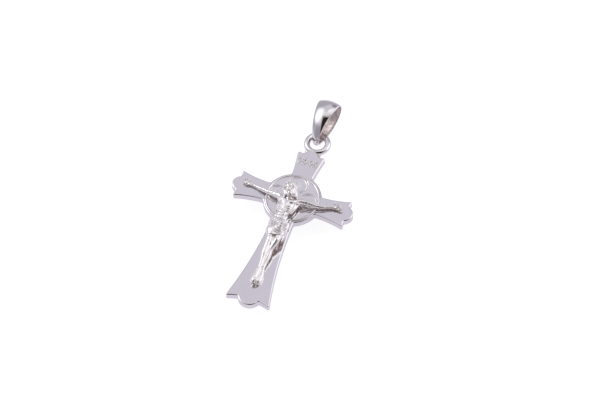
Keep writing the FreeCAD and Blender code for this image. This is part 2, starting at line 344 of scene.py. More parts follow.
def silver(name, tint=(0.9, 0.885, 0.91), rough=(0.05, 0.11), wear=0.35, patina_and_shade=0.0, matte=0.0, bump=0.02):
    """Polished silver: faint cloudy wear, fine polishing lines and, where asked, a brown skin: patina in
    hollows, and painted shade where the hollow attribute also marks backs and inner sides.
    """
    material = bpy.data.materials.new(name)
    material.use_nodes = True
    tree = material.node_tree
    bsdf = tree.nodes["Principled BSDF"]
    bsdf.inputs["Metallic"].default_value = 1 - matte
    place = node(tree, "ShaderNodeTexCoord")
    cloud = node(tree, "ShaderNodeTexNoise", Scale=420.0, Detail=4.0, Roughness=0.6)
    lines = node(tree, "ShaderNodeTexNoise", Scale=1.0, Detail=3.0, Roughness=0.7)
    stretch = node(tree, "ShaderNodeMapping")
    stretch.inputs["Rotation"].default_value = (0.2, 0.5, 0.9)
    stretch.inputs["Scale"].default_value = (400.0, 5200.0, 5200.0)
    tree.links.new(place.outputs["Object"], cloud.inputs["Vector"])
    tree.links.new(place.outputs["Object"], stretch.inputs["Vector"])
    tree.links.new(stretch.outputs["Vector"], lines.inputs["Vector"])
    last_rough = ranged(tree, cloud.outputs["Fac"], 0.35, 0.75, *rough)
    worn = tuple(c * (1 - 0.22 * wear) for c in tint)
    last_colour = blended(tree, cloud.outputs["Fac"], tint, worn)
    tip = node(tree, "ShaderNodeBump", Strength=bump * 10, Distance=0.00001)
    tree.links.new(lines.outputs["Fac"], tip.inputs["Height"])
    tree.links.new(tip.outputs["Normal"], bsdf.inputs["Normal"])
    if patina_and_shade:
        # Brown skin by the hollow attribute: real patina in sheltered spots, plus painted shade on surfaces
        # marked as backs or inner sides.
        hollow = node(tree, "ShaderNodeAttribute", attribute_name="hollow")
        curve = ranged(tree, hollow.outputs["Fac"], 0.42, 0.95, 0.0, patina_and_shade, "SMOOTHSTEP")
        skin_cloud = node(tree, "ShaderNodeTexNoise", Scale=1900.0, Detail=3.0, Roughness=0.65)
        tree.links.new(place.outputs["Object"], skin_cloud.inputs["Vector"])
        tone = node(tree, "ShaderNodeValToRGB")
        tone.color_ramp.elements[0].position, tone.color_ramp.elements[1].position = 0.36, 0.66
        tone.color_ramp.elements[0].color = (0.28, 0.19, 0.155, 1)
        tone.color_ramp.elements[1].color = (0.85, 0.72, 0.66, 1)
        tree.links.new(skin_cloud.outputs["Fac"], tone.inputs["Fac"])
        last_colour = blended(tree, curve, last_colour, tone.outputs["Color"])
        dull = node(tree, "ShaderNodeMix", data_type="FLOAT")
        dull.inputs[3].default_value = 0.42
        tree.links.new(curve, dull.inputs[0])
        tree.links.new(last_rough, dull.inputs[2])
        last_rough = dull.outputs[0]
        # The brown skin is less of a mirror than the bare metal.
        tree.links.new(ranged(tree, curve, 0.0, 1.0, 1 - matte, 0.35), bsdf.inputs["Metallic"])
    tree.links.new(last_colour, bsdf.inputs["Base Color"])
    tree.links.new(last_rough, bsdf.inputs["Roughness"])
    return material


plate_silver = silver("plate_silver", rough=(0.03, 0.07))
medal_silver = silver("medal_silver", tint=(0.9, 0.885, 0.905), rough=(0.06, 0.11), patina_and_shade=0.7, matte=0.05)
figure_silver = silver("figure_silver", tint=(0.97, 0.95, 0.945), rough=(0.1, 0.18), patina_and_shade=0.85, matte=0.22)
foot_silver = silver("foot_silver", tint=(0.97, 0.95, 0.945), rough=(0.1, 0.18), patina_and_shade=0.45, matte=0.22)
trim_silver = silver("trim_silver", tint=(0.95, 0.935, 0.95), rough=(0.1, 0.16), patina_and_shade=0.4, matte=0.3)
ring_silver = silver("ring_silver", tint=(0.92, 0.905, 0.915), rough=(0.04, 0.08))
# The bail's brown skin is painted shade on the band's inner side.
bail_silver = silver("bail_silver", tint=(0.91, 0.9, 0.92), rough=(0.03, 0.06), patina_and_shade=0.85)
solder_silver = silver("solder_silver", tint=(0.8, 0.78, 0.77), rough=(0.14, 0.25), wear=0.6, bump=0.05)


# ---------------------------------------------------------------- plate

def arc(a, via, b, count=40):
    """Points from a to b along the circle through via, in (x, z)."""
    a, via, b = (np.array(p, float) for p in (a, via, b))
    m = np.array([via - a, b - a])
    c = np.linalg.solve(2 * m, [(via @ via - a @ a), (b @ b - a @ a)])
    t0, tv, t1 = (math.atan2(*(p - c)[::-1]) for p in (a, via, b))
    sweep = (t1 - t0) % (2 * math.pi)
    if (tv - t0) % (2 * math.pi) > sweep:
        sweep -= 2 * math.pi
    r = np.linalg.norm(a - c)
    t = t0 + sweep * np.linspace(0, 1, count)
    return c + r * np.stack([np.cos(t), np.sin(t)], 1)


ROUNDEL = 4.87
# Corner radii round one arm: ear, notch, notch, ear, then where it leaves and meets the roundel.
CORNERS = [0.24, 0.3, 0.3, 0.24, 0.4, 0.4]
FRONT_ROUND, BACK_ROUND = 0.24, 0.08
SEAT_RADIUS = 4.578
SIDE_ARM = {"root": (3.9, 1.8), "flare": (7.3, 2.05), "ear": (9.92, 2.68),
            "hollow": (9.57, 1.95), "notch": (9.62, 1.38), "tip": 10.6}
UPPER_ARM = {"root": (4.2, 1.8), "flare": (7.0, 2.08), "ear": (9.24, 2.44),
             "hollow": (9.06, 1.8), "notch": (9.1, 1.32), "tip": 9.95}
LOWER_ARM = {"root": (4.3, 1.86), "flare": (13.0, 2.4), "ear": (21.34, 3.9),
             "hollow": (20.93, 2.7), "notch": (20.75, 1.8), "tip": 21.95}


def arm_curves(arm):
    """One arm along +Z, right side first: its flared side, ear edge, lobe, and their mirror images."""
    def at(name, side):
        return side * arm[name][1], arm[name][0]

    side = arc(at("root", 1), at("flare", 1), at("ear", 1), 160)
    # The side starts where it leaves the roundel.
    reach = np.linalg.norm(side, axis=1)
    k = int(np.argmax(reach > ROUNDEL))
    t = (ROUNDEL - reach[k - 1]) / (reach[k] - reach[k - 1])
    side = np.vstack([side[k - 1] + t * (side[k] - side[k - 1]), side[k:]])
    edge = arc(at("ear", 1), at("hollow", 1), at("notch", 1), 60)
    lobe = arc(at("notch", 1), (0, arm["tip"]), at("notch", -1), 90)
    flip = np.array([-1, 1])
    return [side, edge, lobe, edge[::-1] * flip, side[::-1] * flip]


def turned(curve, degrees):
    c, s = math.cos(math.radians(degrees)), math.sin(math.radians(degrees))
    return curve @ np.array([[c, -s], [s, c]])


def dense(curve, spacing=0.01):
    length = np.concatenate([[0], np.cumsum(np.linalg.norm(np.diff(curve, axis=0), axis=1))])
    s = np.linspace(0, length[-1], max(int(length[-1] / spacing), 8))
    return np.stack([np.interp(s, length, curve[:, i]) for i in (0, 1)], 1)


def side_normals(curve):
    t = np.gradient(curve, axis=0)
    t /= np.linalg.norm(t, axis=1)[:, None]
    return np.stack([t[:, 1], -t[:, 0]], 1)


def rounded(first, second, radius):
    """Rounds the corner where two curves meet: (first cut back, fillet, second cut back)."""
    a, b = dense(first), dense(second)
    ta, tb = a[-1] - a[-2], b[1] - b[0]
    turn = np.sign(ta[0] * tb[1] - ta[1] * tb[0])
    # Offset both curves towards the inside of the bend, and take the nearest pair of points.
    oa, ob = a - side_normals(a) * radius * turn, b - side_normals(b) * radius * turn
    na, nb = min(len(a), 260), min(len(b), 260)
    gap = np.linalg.norm(oa[-na:, None] - ob[None, :nb], axis=2)
    i, j = np.unravel_index(np.argmin(gap), gap.shape)
    centre = (oa[len(a) - na + i] + ob[j]) / 2
    i = len(a) - na + i
    p, q = a[i], b[j]
    t0, t1 = (math.atan2(*(v - centre)[::-1]) for v in (p, q))
    sweep = (t1 - t0 + math.pi) % (2 * math.pi) - math.pi
    t = t0 + sweep * np.linspace(0, 1, 9)[1:-1]
    fillet = centre + radius * np.stack([np.cos(t), np.sin(t)], 1)
    return a[:i + 1], fillet, b[j:]


def plate_outline():
    """The closed outline of the cross in (x, z), clockwise, with every corner rounded, and its normals."""
    curves = []
    for arm, angle in ((UPPER_ARM, 0), (SIDE_ARM, 90), (LOWER_ARM, 180), (SIDE_ARM, 270)):
        curves += [turned(c, angle)[::-1] for c in arm_curves(arm)][::-1]
    full = []
    count = len(curves)
    for n in range(count):
        full.append(curves[n])
        if n % 5 == 4:
            # A stretch of the roundel joins one arm to the next.
            p, q = curves[n][-1], curves[(n + 1) % count][0]
            t0, t1 = math.atan2(p[1], p[0]), math.atan2(q[1], q[0])
            sweep = (t1 - t0 + math.pi) % (2 * math.pi) - math.pi
            t = t0 + sweep * np.linspace(0, 1, 60)
            full.append(ROUNDEL * np.stack([np.cos(t), np.sin(t)], 1))
    corner = CORNERS * 4
    cut = [dense(c) for c in full]
    fillets = []
    for n in range(len(cut)):
        m = (n + 1) % len(cut)
        a, fillet, b = rounded(cut[n], cut[m], corner[n])
        cut[n], cut[m] = a, b
        fillets.append(fillet)
    outline = []
    for piece, fillet in zip(cut, fillets):
        length = np.linalg.norm(np.diff(piece, axis=0), axis=1).sum()
        keep = np.linspace(0, len(piece) - 1, max(int(length / 0.16), 2) + 1).astype(int)
        outline += [piece[keep], fillet]
    return np.vstack(outline)


def outline_normals(p):
    t = np.roll(p, -1, 0) - np.roll(p, 1, 0)
    t /= np.linalg.norm(t, axis=1)[:, None]
    return np.stack([-t[:, 1], t[:, 0]], 1)


def add_plate():
    line = plate_outline()
    n = outline_normals(line)
    area = 0.5 * np.sum(line[:, 0] * np.roll(line[:, 1], -1) - line[:, 1] * np.roll(line[:, 0], -1))
    if area > 0:
        n = -n
    steps = []
    for t in np.linspace(0, math.pi / 2, 4):
        steps.append((BACK_ROUND * (1 - math.sin(t)), -BACK_ROUND * (1 - math.cos(t)), math.sin(t),
                      math.cos(t)))
    r = FRONT_ROUND
    for t in np.linspace(0, math.pi / 2, 9):
        steps.append((r * (1 - math.cos(t)), FRONT + r * (1 - math.sin(t)), math.cos(t), -math.sin(t)))
    count = len(line)
    points, normals = [], []
    for inset, y, out, forward in steps:
        ring = line - n * inset
        points.append(np.stack([ring[:, 0], np.full(count, y), ring[:, 1]], 1))
        normals.append(np.stack([n[:, 0] * out, np.full(count, forward), n[:, 1] * out], 1))
    rings = len(points)
    points, normals = np.vstack(points), np.vstack(normals)
    faces = grid_faces(rings, count, wrap_columns=True)
    # The seat of the medal: a shallow pocket with a tiny rounded lip.
    ring_count = 160
    t = -np.arange(ring_count) / ring_count * 2 * math.pi
    lip = []
    for radius, y, out, forward in ((4.62, FRONT, 0, -1), (4.59, FRONT + 0.012, -0.7, -0.7),
                                    (SEAT_RADIUS, FRONT + 0.05, -1, 0), (SEAT_RADIUS, FRONT + 0.5, -1, 0)):
        lip.append(np.stack([radius * np.cos(t), np.full(ring_count, y), radius * np.sin(t)], 1))
        normals = np.vstack([normals, np.stack([out * np.cos(t), np.full(ring_count, float(forward)),
                                                out * np.sin(t)], 1)])
    start = len(points)
    points = np.vstack([points] + lip)
    faces += [tuple(start + i for i in f) for f in grid_faces(4, ring_count, wrap_columns=True)]
    front = [(rings - 1) * count + i for i in range(count)]
    hole = [start + i for i in range(ring_count)]
    flat = tessellate_polygon([[Vector((points[i][0], points[i][2], 0)) for i in loop] for loop in (front,
                                                                                                    hole)])
    order = front + hole
    faces += [tuple(order[i] for i in f) for f in flat]
    back = list(range(count))
    flat = tessellate_polygon([[Vector((points[i][0], points[i][2], 0)) for i in back]])
    faces += [tuple(back[i] for i in f) for f in flat]
    mesh_piece = add_mesh("cross_plate_shell", points, faces, normals=normals, replaces=("cross_plate",),
                          slot="cross_plate", material=plate_silver)
    fix_winding(mesh_piece, points, normals)


def fix_winding(piece, points, normals):
    """Turns every face to agree with its points' normals, and sets those normals again."""
    mesh = piece.data
    co = np.array(points)
    faces = []
    for polygon in mesh.polygons:
        ids = list(polygon.vertices)
        p = co[ids]
        area = sum((np.cross(p[i] - p[0], p[i + 1] - p[0]) for i in range(1, len(ids) - 1)), np.zeros(3))
        if area @ np.sum(np.array(normals)[ids], 0) < 0:
            ids = ids[::-1]
        faces.append(ids)
    mesh.clear_geometry()
    mesh.from_pydata((co * MM).tolist(), [], faces)
    mesh.update()
    mesh.shade_smooth()
    mesh.normals_split_custom_set_from_vertices(np.asarray(normals, float).tolist())


add_plate()


# ---------------------------------------------------------------- medal

def bump_line(distance, width, height):
    """A rounded ridge of the given half width."""
    t = np.clip(1 - (distance / width) ** 2, 0, 1)
    return height * t * (1.5 - 0.5 * t)


def smooth_step(a, b, x):
    t = np.clip((x - a) / (b - a), 0, 1)
    return t * t * (3 - 2 * t)


def leaf(x, z, root, tip, width):
    """A veined leaf between two points: height over the ground."""
    root, tip = np.array(root, float), np.array(tip, float)
    v = tip - root
    length = np.linalg.norm(v)
    v /= length
    s = ((x - root[0]) * v[0] + (z - root[1]) * v[1]) / length
    across = (x - root[0]) * -v[1] + (z - root[1]) * v[0]
    half = width * np.clip(np.sin(np.pi * np.clip(s, 0, 1) ** 0.8), 0, 1)
    t = np.where((s > 0) & (s < 1), np.abs(across) / np.maximum(half, 1e-3), 2)
    body = np.clip(1 - t ** 2, 0, 1) ** 0.6
    side_veins = 0.5 + 0.5 * np.cos(s * 26 - np.abs(across) * 14)
    vein = 1 - 0.45 * np.exp(-(across / 0.05) ** 2) - 0.18 * side_veins
    return body * vein


def quatrefoil(x, z):
    """Distance outwards from a line of four round lobes, one on each arm of the cross."""
    u, v = np.maximum(np.abs(x), np.abs(z)), np.minimum(np.abs(x), np.abs(z))
    return np.hypot(u - 2.72, v) - 1.42


def medal_height(x, z):
    """The medal's relief over its field: wire rim, a quatrefoil line with a groove round it, and low
    leaves in the lobes."""
    r = np.hypot(x, z)
    h = 0.11 * np.clip(1 - ((r - 4.4) / 0.15) ** 2, 0, 1) ** 0.5
    edge = quatrefoil(x, z)
    inside = smooth_step(4.2, 4.1, r) * smooth_step(1.5, 1.7, r)
    h = h + (bump_line(edge, 0.1, 0.045) - bump_line(edge - 0.19, 0.1, 0.05)) * inside
    u, v = np.maximum(np.abs(x), np.abs(z)), np.minimum(np.abs(x), np.abs(z))
    for tip, width in (((3.75, 0.0), 0.17), ((3.4, 0.62), 0.14)):
        h = h + 0.03 * leaf(u, v, (2.1, 0.12), tip, width)
    return h


def add_medal():
    radii = np.concatenate([np.linspace(0.02, 1.6, 14), np.arange(1.65, 4.545, 0.036)])
    columns = 560
    t = np.arange(columns) / columns * 2 * math.pi
    rr, tt = np.meshgrid(radii, t, indexing="ij")
    x, z = rr * np.cos(tt), rr * np.sin(tt)
    h = medal_height(x, z)
    base = FRONT - 0.06
    y = base - h
    e = 0.01
    gx = (medal_height(x + e, z) - medal_height(x - e, z)) / (2 * e)
    gz = (medal_height(x, z + e) - medal_height(x, z - e)) / (2 * e)
    normals = np.stack([-gx, -np.ones_like(gx), -gz], -1).reshape(-1, 3)
    normals /= np.linalg.norm(normals, axis=1)[:, None]
    points = np.stack([x, y, z], -1).reshape(-1, 3)
    rows = len(radii)
    hollow = np.zeros((rows, columns))
    for d in (0.08, 0.16):
        around = sum(medal_height(x + d * math.cos(k),
                                  z + d * math.sin(k)) for k in np.arange(8) * math.pi / 4) / 8
        hollow += np.clip((around - h) / 0.035, 0, 1) / 2
    # The rolled outer edge, down into the pocket.
    edge = ((4.553, 0.02, 0.8), (4.556, 0.08, 1.0), (4.556, 0.5, 1.0))
    for radius, depth, out in edge:
        points = np.vstack([points, np.stack([radius * np.cos(t), np.full(columns, base + depth),
                                              radius * np.sin(t)], 1)])
        normals = np.vstack([normals, np.stack([out * np.cos(t), np.full(columns, -(1 - out)),
                                                out * np.sin(t)], 1)])
    rows += len(edge)
    faces = grid_faces(rows, columns, wrap_columns=True)
    faces.append(tuple(range(columns)))
    piece = add_mesh("medal_relief", points, faces, normals=normals, replaces=("medal_disc",),
                     slot="medal_disc", material=medal_silver)
    fix_winding(piece, points, normals)
    set_patina_and_shade(piece, np.concatenate([hollow.ravel(), np.zeros(len(edge) * columns)]))


add_medal()


# ---------------------------------------------------------------- ornament on the upper arm

LOZENGE_PITCH, LOZENGE_ROW = 0.98, 7.35


def add_ornament():
    """Four sunk lozenges in a row, with a pair of beads between each two."""
    clay = Clay((-2.1, -0.12, 6.3), (2.1, 0.5, 8.4), 0.03)

    def lozenge(cx, cz, w, h, rise):
        def distance(x, y, z):
            u, v = np.abs(x - cx) / w, np.abs(z - cz) / h
            slope = rise / w
            top = y - rise * (1 - (u + v))
            return np.maximum(top / math.sqrt(1 + slope ** 2 + (rise / h) ** 2), y - rise * 0.72)
        return distance, (cx - w, -0.1, cz - h), (cx + w, rise, cz + h)

    def well(cx, cz, w, h, floor):
        def distance(x, y, z):
            wall = (np.abs(x - cx) / w + np.abs(z - cz) / h - 1) * w * h / math.hypot(w, h)
            return np.maximum(wall, floor - y)
        return distance, (cx - w, floor, cz - h), (cx + w, 0.5, cz + h)

    for i in range(4):
        x = (i - 1.5) * LOZENGE_PITCH
        clay.join(lozenge(x, LOZENGE_ROW, 0.46, 0.86, 0.5), 0.04)
        clay.carve(well(x, LOZENGE_ROW, 0.2, 0.42, 0.06), 0.04)
    for i in range(3):
        x = (i - 1) * LOZENGE_PITCH
        for side in (1, -1):
            clay.join(ball((x, 0.0, LOZENGE_ROW + side * 0.52), 0.14), 0.03)
    clay.keep(lambda x, y, z: -(y + 0.03))
    add_clay("upper_ornament", clay, trim_silver, replaces=("titulus_ornament",), slot="titulus_ornament")


add_ornament()


# ---------------------------------------------------------------- figure

def turn_matrix(lean=0.0, nod=0.0, yaw=0.0):
    """Columns are a head's own axes (right, forward, up) in (x, rise, z). lean tips the crown towards -x,
    nod tips it forward, and yaw turns the face towards -x."""
    l, n, w = (math.radians(a) for a in (lean, nod, yaw))
    ry = np.array([[math.cos(l), 0, -math.sin(l)], [0, 1, 0], [math.sin(l), 0, math.cos(l)]])
    rx = np.array([[1, 0, 0], [0, math.cos(n), math.sin(n)], [0, -math.sin(n), math.cos(n)]])
    rz = np.array([[math.cos(w), -math.sin(w), 0], [math.sin(w), math.cos(w), 0], [0, 0, 1]])
    return ry @ rx @ rz


HEAD = np.array([-0.45, 2.45, 0.28])
HEAD_TURN = turn_matrix(lean=23, nod=16, yaw=12)
HEAD_SIZE = 1.14


def head_point(p):
    return tuple(HEAD + HEAD_TURN @ (HEAD_SIZE * np.array(p, float)))


def sculpt_head(clay):
    """Head in its own axes (right, forward, up), on plain proportions; 2.4 units from chin to crown."""
    def at(*p):
        return head_point(p)

    def blob(c, radii, blend, carve=False):
        (clay.carve if carve else clay.join)(egg(at(*c), HEAD_SIZE * np.array(radii), HEAD_TURN), blend)

    def strand(points, blend=0.03, carve=False):
        form = path(smooth_path([(*at(*p[:3]), HEAD_SIZE * p[3]) for p in points], 3), 0.03)
        (clay.carve if carve else clay.join)(form, blend)

    blob((0, -0.05, 0.35), (0.74, 0.88, 0.8), 0.1)
    blob((0, 0.22, -0.3), (0.56, 0.62, 0.78), 0.15)
    blob((0, 0.6, -0.88), (0.26, 0.2, 0.2), 0.12)
    # Brow, sockets, lids, nose, cheeks.
    strand([(-0.4, 0.66, 0.1, 0.09), (0, 0.8, 0.08, 0.08), (0.4, 0.66, 0.1, 0.09)], 0.08)
    for side in (-1, 1):
        blob((side * 0.25, 0.83, -0.07), (0.16, 0.13, 0.11), 0.07, carve=True)
        blob((side * 0.25, 0.69, -0.09), (0.13, 0.1, 0.085), 0.03)
        strand([(side * 0.12, 0.78, -0.11, 0.018), (side * 0.25, 0.81, -0.13, 0.02),
                (side * 0.38, 0.72, -0.1, 0.018)], 0.02, carve=True)
        blob((side * 0.38, 0.58, -0.3), (0.17, 0.13, 0.14), 0.12)
    strand([(0, 0.76, 0.06, 0.06), (0, 0.88, -0.14, 0.065), (0, 0.97, -0.33, 0.09)], 0.06)
    for side in (-1, 1):
        blob((side * 0.09, 0.86, -0.36), (0.07, 0.07, 0.05), 0.04)
    # Moustache, mouth, beard in two points.
    for side in (-1, 1):
        strand([(side * 0.03, 0.88, -0.47, 0.06), (side * 0.18, 0.82, -0.53, 0.065),
                (side * 0.32, 0.68, -0.7, 0.05)], 0.03)
        strand([(side * 0.46, 0.4, -0.35, 0.1), (side * 0.44, 0.42, -0.7, 0.14),
                (side * 0.26, 0.5, -1.05, 0.18), (side * 0.13, 0.5, -1.45, 0.12),
                (side * 0.09, 0.46, -1.7, 0.05)], 0.08)
    blob((0, 0.85, -0.62), (0.12, 0.05, 0.04), 0.03)
    strand([(-0.13, 0.88, -0.57, 0.02), (0.13, 0.88, -0.57, 0.02)], 0.02, carve=True)
    blob((0, 0.55, -1.05), (0.3, 0.2, 0.35), 0.1)
    for x in (-0.24, -0.12, 0.0, 0.12, 0.24):
        strand([(x * 0.9, 0.78, -0.85, 0.018), (x * 1.1, 0.74, -1.1, 0.028),
                (x * 0.6, 0.68, -1.45, 0.02)], 0.03, carve=True)
    # Hair: a cap, then locks that fall to the shoulders on both sides.
    blob((0, -0.2, 0.38), (0.84, 0.86, 0.84), 0.06)
    blob((0, -0.45, -0.1), (0.7, 0.5, 0.75), 0.1)
    for side in (-1, 1):
        for k, (front, out, drop) in enumerate(((0.42, 0.66, -1.15), (0.22, 0.8, -1.5), (-0.02, 0.86, -1.7),
                                                (-0.28, 0.8, -1.75))):
            strand([(side * (0.3 + 0.08 * k), front + 0.15, 0.75 - 0.05 * k, 0.08),
                    (side * out * 0.95, front + 0.02, 0.3, 0.12),
                    (side * (out + 0.05), front - 0.12, -0.3, 0.15),
                    (side * (out - 0.02 + 0.04 * k), front - 0.02, -0.8, 0.16),
                    (side * (out + 0.06 * k - 0.04), front + 0.05, drop, 0.1)], 0.05)
    for side in (-1, 1):
        for k in range(5):
            f = 0.45 - 0.2 * k
            strand([(side * (0.42 + 0.05 * k), f + 0.2, 0.62, 0.02),
                    (side * (0.8 + 0.03 * k), f + 0.02, 0.1, 0.03),
                    (side * (0.86 + 0.03 * k), f - 0.08, -0.5, 0.03),
                    (side * (0.8 + 0.05 * k), f, -1.1, 0.02)],
                   0.03, carve=True)
    # Parted crown of the head, with combed grooves.
    for k in range(9):
        x = -0.64 + 0.16 * k
        strand([(x * 0.35, 0.55, 0.85, 0.016), (x * 0.8, 0.1, 1.16 - 0.25 * abs(x), 0.022),
                (x, -0.5, 0.95 - 0.3 * abs(x), 0.02)], 0.03, carve=True)
    # Plaited crown of thorns.
    turns = 44
    for phase in (0, math.pi):
        points = []
        for k in range(turns + 1):
            t = 2 * math.pi * k / turns
            wave = 5 * t + phase
            out = 0.07 * math.cos(wave)
            points.append((*at((0.84 + out) * math.sin(t), -0.08 + (0.86 + out) * math.cos(t),
                               0.5 + 0.07 * math.sin(wave) + 0.08 * math.cos(t)), 0.06))
        clay.join(path(points, 0.02), 0.015)
    for k in range(14):
        t = 2 * math.pi * (k + 0.3) / 14
        up = 0.16 if k % 2 else -0.05
        a = at(0.86 * math.sin(t), -0.08 + 0.88 * math.cos(t), 0.52)
        b = at(1.04 * math.sin(t + 0.1), -0.08 + 1.06 * math.cos(t + 0.1), 0.55 + up)
        clay.join(tube(a, b, 0.045, 0.014), 0.02)


def sculpt_torso(clay):
    clay.join(egg((-0.03, 1.4, -2.4), (1.36, 0.9, 1.6)), 0.2)
    clay.join(tube((-1.2, 1.25, -1.2), (1.15, 1.25, -1.2), 0.5), 0.4)
    clay.join(egg((-0.15, 1.3, -4.5), (1.05, 0.78, 1.5)), 0.5)
    clay.join(egg((-0.1, 1.3, -6.0), (1.25, 0.86, 1.1)), 0.4)
    clay.join(tube((0.0, 1.6, -1.3), head_point((0, -0.2, -0.5)), 0.52, 0.5), 0.25)
    clay.join(tube((-0.05, 1.95, -1.1), head_point((0, 0.2, -1.0)), 0.5, 0.42), 0.25)
    for side in (-1, 1):
        clay.join(tube((0.0, 1.75, -0.9), (side * 1.25, 1.4, -0.95), 0.26, 0.32), 0.3)
        # Collar bones, chest muscles and the fold into each armpit.
        clay.join(tube((side * 0.12, 2.08, -1.3), (side * 1.2, 1.8, -1.05), 0.08, 0.09), 0.12)
        clay.join(egg((side * 0.62 - 0.04, 1.98, -1.95), (0.64, 0.36, 0.46), turn_matrix(lean=side * 22)),
                  0.12)
        clay.join(tube((side * 1.0, 1.88, -1.65), (side * 2.0, 1.4, -1.0), 0.3, 0.3), 0.25)
        clay.join(tube((side * 1.65, 1.1, -1.25), (side * 1.1 - 0.05, 1.1, -3.4), 0.34, 0.3), 0.3)
        clay.carve(tube((side * 0.2 - 0.05, 2.48, -2.42), (side * 1.1 - 0.05, 2.15, -2.46), 0.06, 0.05), 0.12)
        # Ribs and the arch of the chest.
        for k in range(4):
            z = -2.85 - 0.33 * k
            clay.join(path(smooth_path([(side * 0.5 - 0.08, 2.22 - 0.06 * k, z - 0.12, 0.05),
                                        (side * 0.95 - 0.08, 1.95 - 0.05 * k, z, 0.075),
                                        (side * 1.2 - 0.08, 1.45, z + 0.18, 0.07)], 3)), 0.1)
        clay.carve(path(smooth_path([(-0.08, 2.42, -3.15, 0.08), (side * 0.4 - 0.08, 2.27, -3.7, 0.12),
                                     (side * 0.78 - 0.06, 2.05, -4.5, 0.09)], 3)), 0.1)
        for z in (-4.0, -4.55, -5.1):
            clay.join(egg((side * 0.3 - 0.12, 1.93, z), (0.28, 0.2, 0.25)), 0.09)
        clay.join(egg((side * 0.82 - 0.12, 1.55, -5.0), (0.34, 0.36, 0.7)), 0.2)
    clay.carve(tube((-0.03, 2.48, -1.5), (-0.08, 2.45, -2.8), 0.05, 0.06), 0.12)
    clay.carve(tube((-0.12, 2.22, -3.7), (-0.12, 2.2, -5.4), 0.035), 0.1)
    clay.carve(ball((-0.1, 2.15, -5.35), 0.1), 0.06)


ARMS = {
    -1: [(-1.2, 1.22, -1.1, 0.6), (-2.3, 1.15, -0.85, 0.5), (-3.23, 1.0, -0.75, 0.4),
         (-4.0, 0.82, -0.6, 0.36),
         (-4.83, 0.64, -0.38, 0.32), (-5.4, 0.54, -0.26, 0.33), (-5.9, 0.46, -0.14, 0.29),
         (-6.5, 0.39, 0.0, 0.25),
         (-7.1, 0.36, 0.1, 0.24), (-7.6, 0.36, 0.12, 0.26)],
    1: [(1.2, 1.2, -1.1, 0.6), (2.3, 1.13, -0.83, 0.5), (3.28, 1.04, -0.73, 0.42), (4.2, 0.78, -0.68, 0.36),
        (4.9, 0.66, -0.52, 0.33), (5.3, 0.6, -0.42, 0.33), (5.66, 0.56, -0.33, 0.28),
        (6.2, 0.44, -0.12, 0.25),
        (6.7, 0.38, 0.05, 0.25), (7.1, 0.38, 0.2, 0.3)],
}


def sculpt_arms(clay):
    for side, stations in ARMS.items():
        clay.join(path(stations, 0.2), 0.3)
        clay.join(egg((side * 1.75, 1.4, -0.95), (0.55, 0.42, 0.42)), 0.2)
        clay.join(tube((side * 2.5, 1.32, -0.66), (side * 3.7, 1.04, -0.58), 0.25, 0.2), 0.12)
        clay.join(tube((side * 2.4, 1.0, -1.08), (side * 3.7, 0.85, -0.85), 0.26, 0.18), 0.12)
        clay.join(tube((side * 4.95, 0.74, -0.3), (side * 5.8, 0.57, -0.08), 0.17, 0.12), 0.1)
        clay.join(tube((side * 4.85, 0.58, -0.6), (side * 5.9, 0.46, -0.3), 0.16, 0.1), 0.1)
        clay.join(ball((side * 4.72, 0.62, -0.66), 0.15), 0.12)
        clay.carve(tube((side * 2.6, 1.52, -0.98), (side * 3.9, 1.14, -0.86), 0.035), 0.1)


# Each hand: its palm (centre and radii), then its fingers and thumb as (x, rise, z, radius) stations.
HANDS = (
    ((-7.85, 0.36, 0.13), (0.58, 0.17, 0.36), (
        [(-8.0, 0.42, 0.36, 0.1), (-8.16, 0.55, 0.62, 0.09), (-8.14, 0.76, 0.8, 0.07)],
        [(-8.22, 0.42, 0.27, 0.1), (-8.46, 0.58, 0.54, 0.09), (-8.52, 0.8, 0.72, 0.07)],
        [(-8.36, 0.42, 0.12, 0.1), (-8.68, 0.58, 0.37, 0.09), (-8.79, 0.78, 0.55, 0.07)],
        [(-8.4, 0.4, -0.06, 0.09), (-8.8, 0.52, 0.14, 0.08), (-8.98, 0.68, 0.32, 0.06)],
        [(-7.5, 0.45, 0.32, 0.12), (-7.56, 0.66, 0.58, 0.11), (-7.74, 0.76, 0.76, 0.08)])),
    ((7.45, 0.4, 0.36), (0.66, 0.2, 0.48), (
        [(7.75, 0.45, 0.68, 0.13), (8.05, 0.66, 0.84, 0.12), (7.98, 0.95, 0.82, 0.11),
         (7.72, 1.0, 0.76, 0.1)],
        [(7.9, 0.45, 0.48, 0.13), (8.25, 0.64, 0.58, 0.12), (8.2, 0.96, 0.58, 0.11), (7.95, 1.03, 0.52, 0.1)],
        [(7.95, 0.44, 0.26, 0.13), (8.3, 0.6, 0.34, 0.12), (8.28, 0.9, 0.34, 0.11), (8.04, 0.98, 0.28, 0.1)],
        [(7.9, 0.42, 0.06, 0.11), (8.35, 0.46, 0.1, 0.1), (8.66, 0.52, 0.24, 0.09), (8.8, 0.6, 0.44, 0.07)],
        [(7.1, 0.5, 0.62, 0.15), (7.2, 0.76, 0.84, 0.13), (7.4, 0.95, 0.9, 0.1)])),
)


def sculpt_hands(clay):
    """Palms open to the front, with the fingers curling forward round the nail."""
    for centre, radii, fingers in HANDS:
        clay.join(egg(centre, radii), 0.12)
        for finger in fingers:
            clay.join(path(smooth_path(finger, 3), 0.03), 0.03)


